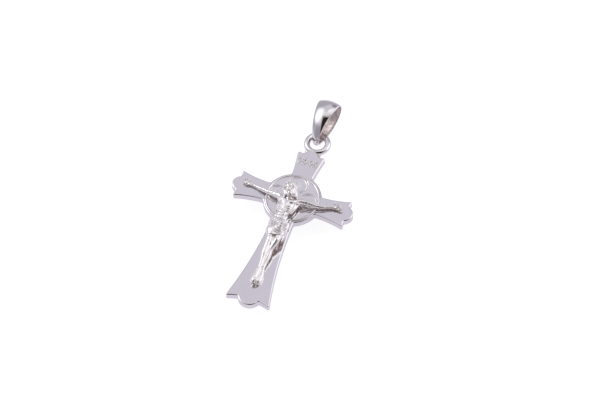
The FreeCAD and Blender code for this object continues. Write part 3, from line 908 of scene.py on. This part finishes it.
LEGS = {
    -1: [(-0.68, 1.3, -6.4, 0.84), (-0.55, 1.75, -8.1, 0.7), (-0.3, 2.0, -9.65, 0.47),
         (-0.25, 1.85, -10.6, 0.42),
         (-0.27, 1.6, -11.56, 0.46), (-0.26, 1.45, -12.37, 0.45), (-0.17, 1.25, -13.25, 0.38),
         (-0.08, 1.12, -14.17, 0.3), (-0.08, 1.02, -15.1, 0.27)],
    1: [(0.62, 1.3, -6.4, 0.84), (0.85, 1.7, -8.1, 0.68), (0.95, 1.86, -9.6, 0.5), (0.73, 1.6, -10.46, 0.42),
        (0.45, 1.3, -11.4, 0.41), (0.5, 1.1, -12.16, 0.42), (0.46, 0.9, -13.04, 0.4),
        (0.4, 0.75, -13.95, 0.33), (0.42, 0.62, -14.87, 0.28)],
}


def sculpt_legs(clay):
    for stations in LEGS.values():
        clay.join(path(smooth_path(stations, 3), 0.15), 0.12)
    clay.join(tube((0.12, 1.72, -8.0), (0.32, 1.68, -10.3), 0.42, 0.3), 0.22)
    # Kneecaps, shins and ankle bones.
    clay.join(egg((-0.28, 2.3, -9.75), (0.28, 0.2, 0.32)), 0.1)
    clay.join(tube((-0.36, 2.14, -10.5), (-0.14, 1.3, -14.8), 0.1, 0.07), 0.12)
    clay.join(egg((0.95, 2.2, -9.65), (0.29, 0.2, 0.32)), 0.1)
    clay.join(tube((0.72, 1.9, -10.4), (0.4, 0.86, -14.7), 0.1, 0.07), 0.12)
    for c in ((-0.33, 0.98, -15.15), (0.14, 1.0, -15.2), (0.68, 0.58, -15.0)):
        clay.join(ball(c, 0.12), 0.1)


def sculpt_feet(clay):
    """The figure's right foot lies over the left, toes down."""
    feet = (
        ([(-0.08, 1.02, -15.1, 0.29), (-0.2, 0.82, -15.8, 0.42), (-0.25, 0.77, -16.8, 0.46),
          (-0.2, 0.75, -17.6, 0.42), (-0.14, 0.68, -17.85, 0.3)], (-0.12, 0.68, -17.85), 0.095),
        ([(0.42, 0.62, -14.9, 0.29), (0.55, 0.5, -15.8, 0.38), (0.6, 0.46, -16.6, 0.42),
          (0.55, 0.44, -17.3, 0.38), (0.46, 0.4, -17.75, 0.27)], (0.46, 0.4, -17.8), 0.085),
    )
    for stations, end, thick in feet:
        clay.join(path(smooth_path(stations, 3), 0.15), 0.1)
        for k in range(5):
            a = np.array(end) + (-0.26 + 0.13 * k, 0.02, 0.08)
            b = a + (0.02, -0.05, -0.34 + 0.03 * k)
            clay.join(path([(*a, thick), (*b, thick * 0.85)], 0.03), 0.05)


def sculpt_cloth(clay):
    """A cloth wrapped round the hips, its folds hanging in swags, knotted at the figure's left."""
    drape = clay.twin()
    drape.join(egg((-0.1, 1.3, -6.1), (1.5, 1.0, 1.25)), 0.1)
    for stations in LEGS.values():
        drape.join(tube(stations[0][:3], stations[1][:3], 0.98, 0.86), 0.4)
        drape.join(tube(stations[1][:3], stations[2][:3], 0.86, 0.68), 0.4)
    drape.join(egg((0.1, 1.62, -8.0), (1.2, 1.06, 3.0)), 0.4)

    def lean_to_front(x, y, z):
        """Where a point shows on the front plane when seen from low on the right."""
        return x - 0.268 * y, z + 0.598 * y

    def folds(x, y, z, d):
        # Swags hang from hip to hip, shallow and wide on the left, steep on the right.
        u, v = lean_to_front(x, y, z)
        swag = np.hypot((u - 0.1) * np.where(u > 0.1, 1.6, 1.0), v + 5.2)
        wave = np.cos((swag + 0.07 * np.sin(3 * u + 1) - 1.82) * 2 * math.pi / 0.5)
        front = smooth_step(0.9, 1.9, y) * smooth_step(-4.2, -5.0, v) * smooth_step(2.02, 1.86, swag)
        pleats = np.sin(z * 0.6 + x * 0.4 + 6.0 * np.arctan2(x, y - 1.0))
        return -0.13 * wave * front - 0.02 * pleats * (1 - front)

    drape.press((-2.6, -0.3, -10.4), (2.6, 3.6, -4.5), folds)

    def hem(x, y, z):
        u, _ = lean_to_front(x, y, z)
        low = -7.85 - 0.598 * y + 0.2 * (u + 1.74) + 0.05 * np.sin(5 * u)
        return np.maximum(low - z, z - (-5.0 - (y - 1.2)))

    drape.keep(hem)
    blend = 0.05
    h = np.maximum(blend - np.abs(clay.d - drape.d), 0) / blend
    clay.d = np.minimum(clay.d, drape.d) - h * h * blend / 4
    # The twisted waistband, the knot and the long folded end that hangs from it.
    for drop, r in ((0.0, 0.16), (-0.27, 0.09)):
        clay.join(path(smooth_path([(-1.5, 1.2, -4.95 + drop, r), (-1.15, 1.85, -5.6 + drop, r),
                                    (-0.5, 2.22, -6.02 + drop, r), (0.3, 2.22, -6.08 + drop, r),
                                    (1.0, 1.95, -5.75 + drop, r), (1.45, 1.35, -5.3 + drop, r)], 5)), 0.035)
    clay.join(egg((1.5, 1.5, -5.5), (0.32, 0.38, 0.3)), 0.05)
    clay.join(path(smooth_path([(1.3, 1.8, -5.35, 0.12), (1.62, 1.78, -5.2, 0.14),
                                (1.76, 1.45, -5.45, 0.12)], 4)), 0.03)
    for shift, forward, length in ((-0.1, 0.2, 3.3), (0.06, 0.02, 3.9), (0.0, -0.18, 3.0)):
        clay.join(path(smooth_path([(1.5 + shift / 2, 1.5, -5.6, 0.12),
                                    (1.62 + shift, 1.38 + forward, -6.6, 0.13),
                                    (1.6 + shift, 1.32 + forward, -5.6 - 0.75 * length, 0.14),
                                    (1.5 + shift, 1.28 + forward, -5.6 - length, 0.1)], 4)), 0.03)


def sculpt(clay):
    sculpt_torso(clay)
    sculpt_arms(clay)
    sculpt_legs(clay)
    sculpt_feet(clay)
    sculpt_hands(clay)
    sculpt_cloth(clay)
    sculpt_head(clay)
    clay.soften()
    # Nothing passes into the plate or the medal.
    clay.keep(lambda x, y, z: 0.02 - y)


REGIONS = {
    "corpus_head": ((-2.3, 0.5, -2.2), (1.35, 4.1, 2.3), 0.044),
    "corpus_right_hand": ((-9.3, -0.05, -0.45), (-7.1, 1.25, 1.2), 0.042),
    "corpus_left_hand": ((6.7, -0.05, -0.45), (9.1, 1.35, 1.3), 0.042),
    "corpus_feet": ((-0.95, -0.05, -18.6), (1.3, 1.7, -15.2), 0.05),
}
coarse = None
fine_boxes = []
for name, (low, high, step) in REGIONS.items():
    clay = Clay(low, high, coarse or step)
    sculpt(clay)
    add_clay(name, clay, foot_silver if name == "corpus_feet" else figure_silver, slot="corpus")
    margin = 2.2 * (coarse or step)
    fine_boxes.append((np.array(low) + margin, np.array(high) - margin))
clay = Clay((-7.75, -0.05, -15.7), (7.6, 3.7, 0.55), coarse or 0.062)
sculpt(clay)
add_clay("corpus_body", clay, figure_silver, skip=fine_boxes, replaces=("corpus",), slot="corpus")


# ---------------------------------------------------------------- nails

def lathe(profile, centre, columns=40):
    """A turned shape about a line along Y: profile is (radius, y)."""
    t = np.arange(columns) / columns * 2 * math.pi
    points = []
    for r, y in profile:
        points.append(np.stack([centre[0] + r * np.cos(t), np.full(columns, y), centre[1] + r * np.sin(t)],
                               1))
    return np.vstack(points), grid_faces(len(profile), columns, wrap_columns=True)


def add_nail(name, x, seat, z):
    y = FRONT - seat
    profile = [(0.16, FRONT + 0.5), (0.16, y), (0.27, y), (0.305, y - 0.02), (0.3, y - 0.06),
               (0.24, y - 0.11),
               (0.15, y - 0.145), (0.05, y - 0.16), (0.004, y - 0.16)]
    points, faces = lathe(profile, (x, z))
    # A hand-filed head: slightly uneven round its edge.
    a = np.arctan2(points[:, 2] - z, points[:, 0] - x)
    r = np.hypot(points[:, 0] - x, points[:, 2] - z)
    wobble = 1 + 0.035 * np.sin(3 * a + x) * (r > 0.2)
    points[:, 0] = x + (points[:, 0] - x) * wobble
    points[:, 2] = z + (points[:, 2] - z) * wobble
    add_mesh(name + "_head", points, faces, replaces=(name,), slot=name, material=trim_silver)


add_nail("right_hand_nail", -8.15, 0.56, 0.14)
add_nail("left_hand_nail", 7.65, 0.58, 0.36)
add_nail("foot_nail", 0.05, 1.17, -17.5)


# ---------------------------------------------------------------- ring and bail

RING_HEIGHT, RING_RADIUS, RING_WIRE = 11.75, 1.74, 0.52
WIRE_TOP = RING_HEIGHT + RING_RADIUS
RING_PLANE = -0.6
CROWN, SHEET = 0.32, 0.24
BAIL_TILT, BAIL_LEAN, BAIL_TWIST = 21, 2, -11      # degrees forward, to +X, about its own length
BAIL_SHIFT, BAIL_SLACK = -0.22, -0.3
BAIL_TOP_CENTRE = 4.58


def add_ring():
    rows, columns = 220, 56
    s = np.arange(rows) / rows * 2 * math.pi
    t = np.arange(columns) / columns * 2 * math.pi
    ss, tt = np.meshgrid(s, t, indexing="ij")
    # Drawn wire, a touch flattened by wear at the top, with a faint file mark at its joint.
    wire = RING_WIRE * (1 - 0.025 * np.exp(-((ss - math.pi / 2) / 0.35) ** 2) * np.cos(tt) ** 2)
    wire = wire * (1 - 0.02 * np.exp(-((ss - 3.9) / 0.02) ** 2))
    r = RING_RADIUS + wire * np.cos(tt)
    points = np.stack([r * np.cos(ss), RING_PLANE - wire * np.sin(tt), RING_HEIGHT + r * np.sin(ss)],
                      -1).reshape(-1, 3)
    faces = grid_faces(rows, columns, wrap_rows=True, wrap_columns=True)
    add_mesh("ring_wire", points, faces, replaces=("suspension_ring",), slot="suspension_ring",
             material=ring_silver)


def add_solder():
    clay = Clay((-1.6, -1.25, 9.1), (1.6, 0.05, 10.3), 0.035)
    for side in (1, -1):
        clay.join(ball((side * 0.98, -0.6, 9.66), 0.41), 0.06)
        clay.join(ball((side * 1.1, -0.62, 9.86), 0.24), 0.15)
        clay.join(ball((side * 0.78, -0.62, 9.62), 0.3), 0.15)
    clay.press(clay.low, clay.low + 9, lambda x, y, z, d: 0.015 * np.sin(11 * x + 3 * z) * np.sin(13 * z))
    points, faces, normals, _ = skin(clay)
    add_mesh("ring_solder_fillets", to_frame(points), faces[:, ::-1],
             normals=normals * (1, -1, 1), replaces=("ring_solder",), slot="ring_solder",
             material=solder_silver)


def oval(tip_centre, tip_radius, top_radius, side_radius, count):
    """Points (forward, up) round a pointed oval, and their outward normals, evenly by turn and length."""
    span = BAIL_TOP_CENTRE - tip_centre
    a, b = side_radius - tip_radius, side_radius - top_radius
    along = (a ** 2 - b ** 2 + span ** 2) / (2 * span)
    back = math.sqrt(a ** 2 - along ** 2)
    lean0, lean1 = math.atan2(along, back), math.atan2(span - along, back)
    # Turn runs from the tip (-90 degrees) over the front to the top (90 degrees) and down the back.
    turns = np.linspace(-math.pi / 2, 1.5 * math.pi, 4001)
    points = []
    for t in turns:
        f = t if t <= math.pi / 2 else math.pi - t
        n = np.array([math.cos(f), math.sin(f)])
        if f < -lean0:
            p = np.array([0, tip_centre]) + tip_radius * n
        elif f > lean1:
            p = np.array([0, BAIL_TOP_CENTRE]) + top_radius * n
        else:
            p = np.array([-back, tip_centre + along]) + side_radius * n
        flip = 1 if t <= math.pi / 2 else -1
        points.append((p[0] * flip, p[1], n[0] * flip, n[1]))
    points = np.array(points)
    step = np.hypot(*np.diff(points[:, :2], axis=0).T) + 0.25 * abs(turns[1] - turns[0])
    length = np.concatenate([[0], np.cumsum(step)])
    s = np.linspace(0, length[-1], count + 1)[:-1]
    return np.stack([np.interp(s, length, points[:, i]) for i in range(4)], 1)


def half_width(up):
    """The band's half width in front view, from tip to top."""
    return np.interp(up, [-1.9, -0.6, 0.8, 2.2, 3.6, 5.0, 6.2], [0.52, 0.74, 1.0, 1.27, 1.55, 1.8, 1.94])


def bail_turn():
    t, l, w = (math.radians(a) for a in (BAIL_TILT, BAIL_LEAN, BAIL_TWIST))
    rz = np.array([[math.cos(w), -math.sin(w), 0], [math.sin(w), math.cos(w), 0], [0, 0, 1]])
    ry = np.array([[math.cos(l), 0, math.sin(l)], [0, 1, 0], [-math.sin(l), 0, math.cos(l)]])
    rx = np.array([[1, 0, 0], [0, math.cos(t), -math.sin(t)], [0, math.sin(t), math.cos(t)]])
    return rx @ ry @ rz


def place_bail(points):
    """From the bail's own axes to its rest on the ring."""
    return (points + (0, BAIL_SLACK, 0)) @ bail_turn().T + (BAIL_SHIFT, RING_PLANE, WIRE_TOP)


def add_bail():
    """The band as one closed skin: crowned outside, gently hollow inside, with rounded rims."""
    count = 300
    outer = oval(-1.2, 0.62, 1.5, 5.49, count)
    inner = oval(0.0, 1.16, 1.2, 5.13, count)
    # Match inner to outer by turn about the middle, so the band stays square across.
    turn_outer = np.unwrap(np.arctan2(outer[:, 1] - 2.2, outer[:, 0]))
    turn_inner = np.unwrap(np.arctan2(inner[:, 1] - 2.2, inner[:, 0]))
    order = np.argsort(turn_inner)
    low = turn_inner[order]
    wrapped = (turn_outer - low[0]) % (2 * math.pi) + low[0]
    inner = np.stack([np.interp(wrapped, np.append(low, low[0] + 2 * math.pi),
                                np.append(inner[order, i], inner[order[0], i])) for i in range(4)], 1)
    widths = half_width(outer[:, 1])
    crown = CROWN * np.clip(widths / 1.3, 0.5, 1.15)
    # Section from rim to rim: share of the half width, inside or not, share of the crown, extra depth.
    section = [(s, 0, s * s, 0.0) for s in np.linspace(-0.955, 0.955, 33)]
    section += [(0.985, 0, 1.0, 0.02), (1.0, 0, 1.0, 0.07), (1.0, 0, 1.0, 0.15), (0.985, 0, 1.0, 0.2)]
    section += [(s, 1, s * s, 0.0) for s in np.linspace(0.96, -0.96, 21)]
    section += [(-0.985, 0, 1.0, 0.2), (-1.0, 0, 1.0, 0.15), (-1.0, 0, 1.0, 0.07), (-0.985, 0, 1.0, 0.02)]
    points = []
    for s, inside, fall, deeper in section:
        line = inner if inside else outer
        sink = (0.3 if inside else 1.0) * crown * fall + deeper
        p = line[:, :2] - line[:, 2:] * sink[:, None]
        if inside:
            # The hollow side keeps a sheet's thickness behind the crowned side.
            q = outer[:, :2] - outer[:, 2:] * (crown * fall + SHEET)[:, None]
            mix = np.clip((np.abs(s) - 0.35) / 0.5, 0, 1) ** 1.5
            p = p * (1 - mix) + q * mix
        points.append(np.stack([s * widths, -p[:, 0], p[:, 1]], 1))
    rows = len(points)
    points = place_bail(np.vstack(points))
    faces = [tuple(f[::-1]) for f in grid_faces(rows, count, wrap_rows=True, wrap_columns=True)]
    piece = add_mesh("bail_band", points, faces, body="bail", replaces=("bail",), slot="bail",
                     material=bail_silver)
    piece.data.set_sharp_from_angle(angle=math.radians(50))
    # Painted shade: the band's whole inner side gets the brown skin, standing in for the shade and dark
    # reflections inside the bail.
    set_patina_and_shade(piece, np.repeat([0.8 if part[1] else 0.0 for part in section], count))


def add_bail_seam():
    """Two low beads of solder and the line between them, under the tip."""
    clay = Clay((-0.6, -0.9, -2.0), (0.6, 0.9, -1.0), 0.03)
    for side in (1, -1):
        clay.join(tube((-0.2, side * 0.14, -1.72), (0.2, side * 0.14, -1.72), 0.13), 0.04)
    clay.join(tube((-0.24, 0, -1.55), (0.24, 0, -1.55), 0.22), 0.08)
    clay.press(clay.low, clay.low + 9, lambda x, y, z, d: 0.012 * np.sin(19 * x + 5 * y))
    points, faces, normals, _ = skin(clay)
    turn = bail_turn()
    flip = np.array([1, -1, 1])
    add_mesh("bail_seam_bead", place_bail(points * flip), faces[:, ::-1], body="bail",
             normals=(normals * flip) @ turn.T, replaces=("bail_solder_seam",), slot="bail_solder_seam",
             material=solder_silver)


add_ring()
add_solder()
add_bail()
add_bail_seam()


# ---------------------------------------------------------------- stage, light and camera

def direction(az, el):
    """From the cross towards a viewer at azimuth az (0 looks along +Y) and elevation el."""
    a, e = math.radians(az), math.radians(el)
    return Vector((math.sin(a) * math.cos(e), -math.cos(a) * math.cos(e), math.sin(e)))


VIEW = direction(14.96, -29.87)


def add_floor():
    """A pale sweep behind the cross, seen from its front side only."""
    size = 0.6
    mesh = bpy.data.meshes.new("floor")
    y = 0.0022
    mesh.from_pydata([(-size, y, -size), (size, y, -size), (size, y, size), (-size, y, size)], [],
                     [(0, 1, 2, 3)])
    floor = bpy.data.objects.new("floor", mesh)
    bpy.context.scene.collection.objects.link(floor)
    material = bpy.data.materials.new("floor_paper")
    material.use_nodes = True
    tree = material.node_tree
    tree.nodes.clear()
    out = node(tree, "ShaderNodeOutputMaterial")
    paper = node(tree, "ShaderNodeBsdfDiffuse", Color=(0.3, 0.3, 0.3, 1))
    glow = node(tree, "ShaderNodeEmission")
    rays = node(tree, "ShaderNodeLightPath")
    level = blended(tree, rays.outputs["Is Camera Ray"], (0.49, 0.46, 0.53), (0.83, 0.83, 0.83))
    tree.links.new(level, glow.inputs["Color"])
    both = node(tree, "ShaderNodeAddShader")
    clear = node(tree, "ShaderNodeBsdfTransparent")
    side = node(tree, "ShaderNodeNewGeometry")
    pick = node(tree, "ShaderNodeMixShader")
    tree.links.new(paper.outputs[0], both.inputs[0])
    tree.links.new(glow.outputs[0], both.inputs[1])
    tree.links.new(side.outputs["Backfacing"], pick.inputs[0])
    tree.links.new(both.outputs[0], pick.inputs[1])
    tree.links.new(clear.outputs[0], pick.inputs[2])
    tree.links.new(pick.outputs[0], out.inputs["Surface"])
    mesh.materials.append(material)


def arithmetic(tree, operation, a, b):
    n = node(tree, "ShaderNodeMath", operation=operation)
    for socket, value in zip(n.inputs, (a, b)):
        if isinstance(value, (int, float)):
            socket.default_value = value
        else:
            tree.links.new(value, socket)
    return n.outputs[0]


def along(tree, direction_of):
    """How far the world direction goes along a unit vector."""
    place = node(tree, "ShaderNodeTexCoord")
    dot = node(tree, "ShaderNodeVectorMath", operation="DOT_PRODUCT")
    dot.inputs[1].default_value = direction_of
    tree.links.new(place.outputs["Generated"], dot.inputs[0])
    return dot.outputs["Value"]


def fade(tree, value, low, high):
    """0 below low, 1 above high, eased between; low may be the larger."""
    return ranged(tree, value, low, high, ease="SMOOTHSTEP")


def lobe(tree, towards, width, soft):
    """1 where the world direction lies within width degrees of towards, fading over soft degrees each way."""
    return fade(tree, along(tree, towards.normalized()), math.cos(math.radians(min(width + soft, 179))),
                math.cos(math.radians(max(width - soft, 0))))


def add_world():
    """A white light tent over the table the cross lies on, which is the plane of its back. The tent is
    grey above, has bright panels at its sides, and an opening on the viewer's side that is dark down to
    the table."""
    world = bpy.data.worlds.new("tent")
    bpy.context.scene.world = world
    world.use_nodes = True
    tree = world.node_tree
    tree.nodes.clear()
    out = node(tree, "ShaderNodeOutputWorld")
    above = Vector((0, -1, 0))
    # The opening is bounded on its left, right and top by three planes through the cross.
    sides = [along(tree, Vector(v).normalized()) for v in ((0.914, -0.305, 0.271), (-0.723, -0.509, -0.472),
                                                           (0.0, 0.0, -1.0))]

    def gap(wider, soft):
        share = None
        for side, edge in zip(sides, (0.05, 0.0, 0.09)):
            part = fade(tree, side, edge - wider - soft, edge - wider + soft)
            share = part if share is None else arithmetic(tree, "MULTIPLY", share, part)
        return share

    shades = [
        (lobe(tree, above, 44, 16), (0.80, 0.785, 0.82)),
        (lobe(tree, Vector((-VIEW.x, VIEW.y, -VIEW.z)), 13, 7), (0.655, 0.632, 0.7)),
        (lobe(tree, Vector((0.03, -0.92, 0.37)), 8, 5), (1.02, 1.01, 1.03)),
        (lobe(tree, Vector((0.02, -0.66, 0.75)), 9, 4), (0.3, 0.28, 0.33)),
        (lobe(tree, Vector((-0.743, -0.66, 0.07)), 20, 12), (1.25, 1.23, 1.26)),
        (lobe(tree, Vector((0.85, -0.4, 0.45)), 24, 6), (1.3, 1.28, 1.3)),
        (lobe(tree, Vector((-0.2, -0.42, -0.88)), 27, 17), (0.33, 0.31, 0.36)),
        (gap(0.1, 0.10), (0.36, 0.29, 0.265)),
        (arithmetic(tree, "MULTIPLY", gap(0.0, 0.02), lobe(tree, VIEW, 34, 8)), (0.022, 0.018, 0.02)),
        (lobe(tree, Vector((0.2, 0.9, 0.4)), 40, 20), (0.55, 0.53, 0.6)),
        (lobe(tree, Vector((-0.75, 0.6, 0.25)), 26, 6), (0.45, 0.43, 0.5)),
        (lobe(tree, Vector((0.5, 0.8, -0.35)), 16, 5), (0.28, 0.26, 0.28)),
    ]
    colour = (0.44, 0.42, 0.46)
    for share, shade in shades:
        colour = blended(tree, share, colour, shade)
    rays = node(tree, "ShaderNodeLightPath")
    # Soft fill: matte surfaces get more light from the tent than mirrors show of it.
    fill = ranged(tree, rays.outputs["Is Glossy Ray"], 0.0, 1.0, 1.5, 1.0)
    tent = node(tree, "ShaderNodeBackground")
    tree.links.new(colour, tent.inputs["Color"])
    tree.links.new(fill, tent.inputs["Strength"])
    plain = node(tree, "ShaderNodeBackground", Strength=1.0)
    plain.inputs["Color"].default_value = (0.99, 0.99, 0.99, 1)
    pick = node(tree, "ShaderNodeMixShader")
    tree.links.new(rays.outputs["Is Camera Ray"], pick.inputs[0])
    tree.links.new(tent.outputs[0], pick.inputs[1])
    tree.links.new(plain.outputs[0], pick.inputs[2])
    tree.links.new(pick.outputs[0], out.inputs["Surface"])


def add_lamp(name, towards, distance, size, power):
    data = bpy.data.lights.new(name, "AREA")
    data.shape, data.size, data.energy = "DISK", size, power
    lamp = bpy.data.objects.new(name, data)
    lamp.location = Vector((0, 0, -0.003)) + towards * distance
    lamp.rotation_euler = (-towards).to_track_quat("-Z", "Y").to_euler()
    bpy.context.scene.collection.objects.link(lamp)


def add_camera():
    data = bpy.data.cameras.new("camera")
    camera = bpy.data.objects.new("camera", data)
    bpy.context.scene.collection.objects.link(camera)
    # A long lens far in front, rolled, with the crossing a little off the middle.
    view_width, near = 99.12604, 1 / 0.0007
    right0 = Vector((0, 0, 1)).cross(VIEW).normalized()
    up0 = VIEW.cross(right0)
    roll = math.radians(23.9053)
    right = right0 * math.cos(roll) + up0 * math.sin(roll)
    up = -right0 * math.sin(roll) + up0 * math.cos(roll)
    centre = Vector((0, FRONT, 0))
    data.sensor_width = 36
    data.lens = near / view_width * data.sensor_width
    data.shift_x, data.shift_y = 0.0126995, -0.0030588
    spot = (centre + VIEW * near) * MM
    turn = Matrix((right, up, VIEW)).transposed()
    camera.matrix_world = Matrix.Translation(spot) @ turn.to_4x4()
    data.clip_start, data.clip_end = 0.05, 10
    bpy.context.scene.camera = camera


add_floor()
add_world()
add_lamp("key", Vector((-0.743, -0.66, 0.07)).normalized(), 0.4, 0.2, 0.12)
add_camera()
bpy.context.scene.view_settings.view_transform = "Standard"
